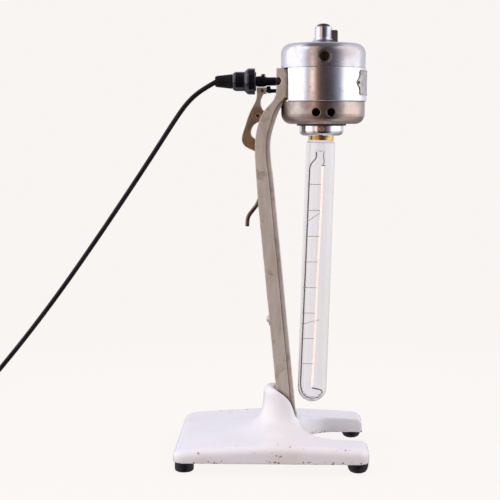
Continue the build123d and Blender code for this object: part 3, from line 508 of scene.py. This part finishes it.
def blend_share(x, y, z):
    """How much of the wide smoothing a point takes: all of it where the boss runs into the slab."""
    r = Vector((x - BOSS_X, y)).length
    ring = ease(r, 0.0195, 0.030) * (1 - ease(r, 0.060, 0.080))
    return ring * ease(z, 0.018, 0.024) * ease(notch_gap(x, y), 0.0015, 0.014)


def rim_share(x, y, z):
    """The light smoothing that rounds every edge of the enamel, but not the sharp bottom edge."""
    return ease(z, 0.0125, 0.0165)


def make_enamel_base():
    cad = nodes["base_casting"]
    rough = bpy.data.objects.new("enamel_base_cells", cad.data.copy())
    bpy.context.scene.collection.objects.link(rough)
    cells = rough.modifiers.new("cells", "REMESH")
    cells.mode = "VOXEL"
    cells.voxel_size = 0.0013
    cells.adaptivity = 0.0
    depsgraph = bpy.context.evaluated_depsgraph_get()
    mesh = bpy.data.meshes.new_from_object(rough.evaluated_get(depsgraph))
    bpy.data.objects.remove(rough)
    base = bpy.data.objects.new("enamel_base", mesh)
    bpy.context.scene.collection.objects.link(base)
    for name, share, factor, rounds in (("blend", blend_share, 0.5, 260), ("rim", rim_share, 0.5, 7)):
        group = base.vertex_groups.new(name=name)
        for vertex in mesh.vertices:
            weight = share(*vertex.co)
            if weight > 0.002:
                group.add([vertex.index], weight, "REPLACE")
        soften = base.modifiers.new(name, "SMOOTH")
        soften.factor = factor
        soften.iterations = rounds
        soften.vertex_group = name
    mesh.shade_smooth()
    paint(base, "white_enamel")
    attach(base, "lamp_stand")
    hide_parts("base_casting")


make_enamel_base()


# ---------------------------------------------------------------- bulb

BULB_X, BULB_TOP = 0.050, 0.3342
BULB_TILT = radians(1.71)


def in_bulb(x, y, z):
    """A point given in the bulb's own frame, in millimetres, placed in the lamp."""
    point = Matrix.Rotation(BULB_TILT, 3, "Y") @ Vector((x * MM, y * MM, z * MM))
    return point + Vector((BULB_X, 0.0, BULB_TOP))


STRAND = [(2.6, -31.3), (2.9, -70.0), (1.8, -140.0), (1.0, -225.0), (0.0, -263.5)]
STRAND_R = 1.0          # of the coiled filament
STRAND_PITCH = 0.62
STRAND_STEPS = 10       # points in a turn


def strand_centre(z):
    for (x0, z0), (x1, z1) in zip(STRAND, STRAND[1:]):
        if z >= z1:
            return x0 + (x1 - x0) * (z - z0) / (z1 - z0)
    return STRAND[-1][0]


def make_filament():
    """The fine coiled filament strand."""
    top, end = STRAND[0][1], STRAND[-1][1]
    count = int((top - end) / STRAND_PITCH * STRAND_STEPS)
    curve = bpy.data.curves.new("filament_coil", "CURVE")
    curve.dimensions = "3D"
    curve.bevel_depth = 0.15 * MM
    curve.bevel_resolution = 0
    spline = curve.splines.new("POLY")
    spline.points.add(count)
    for i, point in enumerate(spline.points):
        z = top - i * STRAND_PITCH / STRAND_STEPS
        angle = 2 * pi * i / STRAND_STEPS
        x, y = strand_centre(z) + STRAND_R * cos(angle), STRAND_R * sin(angle)
        point.co = (*in_bulb(x, y, z), 1.0)
    coil = bpy.data.objects.new("filament_coil", curve)
    bpy.context.scene.collection.objects.link(coil)
    paint(coil, "filament_carbon")
    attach(coil, "bulb")
    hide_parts("filament")


ANCHORS = 8
ANCHOR_TOP, ANCHOR_PITCH = -50.6, 26.9
STRAY_ANCHORS = [-88.5, -196.6]     # smaller ones, at the two slanting wires


def make_anchor_beads():
    """Cement beads where the anchor wires meet the support rod."""
    build = bmesh.new()
    places = [ANCHOR_TOP - ANCHOR_PITCH * i for i in range(ANCHORS)] + STRAY_ANCHORS
    for i, z in enumerate(places):
        x = -10.4 - 1.8 * (-z - 30.5) / 231.5
        size = 1.0 if i < ANCHORS else 0.7
        shape = Matrix.Translation(in_bulb(x, 0.0, z)) @ Matrix.Rotation(0.7 * i, 4, "Y")
        shape = shape @ Matrix.Diagonal((1.45 * size * MM, 1.15 * size * MM, 1.15 * size * MM, 1.0))
        bmesh.ops.create_icosphere(build, subdivisions=2, radius=1.0, matrix=shape)
    for vertex in build.verts:
        vertex.co += vertex.normal * noise.noise(vertex.co * 1500) * 0.25 * MM
    mesh = bpy.data.meshes.new("anchor_beads")
    build.to_mesh(mesh)
    build.free()
    mesh.shade_smooth()
    beads = bpy.data.objects.new("anchor_beads", mesh)
    bpy.context.scene.collection.objects.link(beads)
    mesh.materials.append(bead_cement())
    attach(beads, "bulb")


def bead_cement():
    s = Shader("bead_cement", (0.72, 0.55, 0.40), 0.6)
    s.color(s.mix(s.step(s.noise(900.0, 3.0), 0.4, 0.65), (0.78, 0.62, 0.48), (0.52, 0.35, 0.22)))
    s.bump(s.noise(2500.0, 3.0), 0.0001, 0.5)
    return s.material


make_filament()
make_anchor_beads()


# ---------------------------------------------------------------- studio and camera

CAMERA_PLACE = (0.0168, -1.230, 0.3481)
CAMERA_LENS = 85.6
CAMERA_YAW = 1.86       # degrees, to the left
CAMERA_PITCH = 6.15     # degrees, downwards


def make_camera():
    data = bpy.data.cameras.new("camera")
    data.lens = CAMERA_LENS
    data.sensor_width = 36.0
    camera = bpy.data.objects.new("camera", data)
    camera.location = CAMERA_PLACE
    camera.rotation_euler = (radians(90 - CAMERA_PITCH), 0.0, radians(CAMERA_YAW))
    bpy.context.scene.collection.objects.link(camera)
    bpy.context.scene.camera = camera


DOME_R = 5.0
DOME_ROWS = 12
DOME_SIDES = 48


def make_floor():
    """A pale floor that rolls up into a pale wall and ceiling all round."""
    s = Shader("pale_backdrop", (0.0, 0.0, 0.0), 1.0)
    s.set("Specular IOR Level", 0.0).set("Emission Strength", 1.0)
    length = s.nodes.new("ShaderNodeVectorMath")
    length.operation = "LENGTH"
    s.join(s.place, length.inputs[0])
    away = s.step(length.outputs["Value"], 0.25, 0.9)
    s.color(s.mix(away, (0.05, 0.05, 0.05), (0.0, 0.0, 0.0)))
    s.join(s.mix(away, (0.912, 0.879, 0.853), (0.947, 0.913, 0.887)), s.bsdf.inputs["Emission Color"])
    mesh = bpy.data.meshes.new("studio_floor")
    build = bmesh.new()
    rows = []
    for i in range(DOME_ROWS + 1):
        rise = (pi / 2) * i / DOME_ROWS
        r, z = DOME_R * cos(rise), DOME_R * sin(rise) - 0.0002
        if i < DOME_ROWS:
            turns = [2 * pi * k / DOME_SIDES for k in range(DOME_SIDES)]
            rows.append([build.verts.new((r * cos(a), r * sin(a), z)) for a in turns])
    build.faces.new(rows[0])
    for low, high in zip(rows, rows[1:]):
        for k in range(DOME_SIDES):
            n = (k + 1) % DOME_SIDES
            build.faces.new((low[k], high[k], high[n], low[n]))
    build.faces.new(list(reversed(rows[-1])))
    build.to_mesh(mesh)
    build.free()
    floor = bpy.data.objects.new("studio_floor", mesh)
    bpy.context.scene.collection.objects.link(floor)
    mesh.materials.append(s.material)
    floor.visible_diffuse = False
    floor.visible_glossy = False
    floor.visible_shadow = False


def area_light(name, place, target, size, power, color):
    """A soft light that doesn't show in reflections."""
    data = bpy.data.lights.new(name, "AREA")
    data.shape = "RECTANGLE"
    data.size, data.size_y = size
    data.energy = power
    data.color = color
    light = bpy.data.objects.new(name, data)
    light.location = place
    light.rotation_euler = (Vector(target) - Vector(place)).to_track_quat("-Z", "Y").to_euler()
    light.visible_camera = False
    light.visible_glossy = False
    light.visible_transmission = False
    bpy.context.scene.collection.objects.link(light)


# the room round the lamp: degrees from the front towards the right, and what shines from there
ROOM = [
    (-180, (0.72, 0.70, 0.85)),
    (-128, (0.95, 0.95, 1.05)),
    (-116, (1.60, 1.60, 1.70)),
    (-62, (1.75, 1.75, 1.80)),
    (-50, (1.10, 1.10, 1.22)),
    (-43, (0.62, 0.58, 0.66)),
    (-38, (0.80, 0.60, 0.56)),
    (-30, (1.60, 1.24, 1.10)),
    (-25, (1.00, 0.66, 0.50)),
    (-18, (0.30, 0.19, 0.16)),
    (-8, (0.10, 0.065, 0.06)),
    (10, (0.065, 0.055, 0.055)),
    (24, (0.10, 0.095, 0.11)),
    (36, (0.25, 0.25, 0.33)),
    (46, (0.55, 0.57, 0.74)),
    (56, (1.45, 1.48, 1.55)),
    (66, (1.70, 1.70, 1.75)),
    (108, (1.60, 1.60, 1.65)),
    (126, (0.95, 0.95, 1.05)),
    (180, (0.72, 0.70, 0.85)),
]
CEILING = (0.17, 0.165, 0.175)
FLOOR_TONE = (0.42, 0.40, 0.40)


def make_room():
    """A dark room with wide white screens left and right and a warm strip beside the camera."""
    world = bpy.data.worlds.new("studio")
    world.use_nodes = True
    tree = world.node_tree
    back = tree.nodes["Background"]
    place = tree.nodes.new("ShaderNodeTexCoord").outputs["Generated"]
    split = tree.nodes.new("ShaderNodeSeparateXYZ")
    tree.links.new(place, split.inputs[0])

    def math(operation, *values):
        node = tree.nodes.new("ShaderNodeMath")
        node.operation = operation
        for socket, value in zip(node.inputs, values):
            if isinstance(value, (int, float)):
                socket.default_value = value
            else:
                tree.links.new(value, socket)
        return node.outputs[0]

    def blend(value, low, high, a, b, kind="MIX"):
        ease = tree.nodes.new("ShaderNodeMapRange")
        ease.interpolation_type = "SMOOTHSTEP"
        tree.links.new(value, ease.inputs["Value"])
        ease.inputs["From Min"].default_value = low
        ease.inputs["From Max"].default_value = high
        node = tree.nodes.new("ShaderNodeMix")
        node.data_type = "RGBA"
        node.blend_type = kind
        tree.links.new(ease.outputs["Result"], node.inputs["Factor"])
        sockets = [s for s in node.inputs if s.type == "RGBA"]
        for socket, item in zip(sockets, (a, b)):
            if isinstance(item, tuple):
                socket.default_value = (*item, 1.0)
            else:
                tree.links.new(item, socket)
        return next(s for s in node.outputs if s.type == "RGBA")

    turn = math("ARCTAN2", split.outputs[0], math("MULTIPLY", split.outputs[1], -1.0))
    turn = math("ADD", math("DIVIDE", turn, 2 * pi), 0.5)
    ramp = tree.nodes.new("ShaderNodeValToRGB")
    tree.links.new(turn, ramp.inputs[0])
    ramp.color_ramp.interpolation = "LINEAR"
    stops = ramp.color_ramp.elements
    while len(stops) < len(ROOM):
        stops.new(0.5)
    for stop, (degrees, color) in zip(stops, ROOM):
        stop.position = (degrees + 180) / 360
        stop.color = (*color, 1.0)
    height = split.outputs[2]
    walls = ramp.outputs["Color"]
    below = blend(height, sin(radians(-4)), sin(radians(-13)), walls, FLOOR_TONE, "MULTIPLY")
    whole = blend(height, sin(radians(50)), sin(radians(70)), below, CEILING)
    tree.links.new(whole, back.inputs["Color"])
    bpy.context.scene.world = world


def make_studio():
    make_room()
    area_light("front_fill", (0.0, -1.6, 0.15), (0.0, 0.0, 0.02), (1.4, 0.3), 6.0, (1.0, 0.97, 0.98))
    area_light("top_fill", (-0.1, -0.3, 1.6), (0.0, 0.0, 0.0), (1.2, 1.0), 9.0, (0.99, 0.98, 1.0))


make_camera()
make_floor()
make_studio()
scene = bpy.context.scene
scene.view_settings.view_transform = "Standard"
scene.view_settings.look = "None"
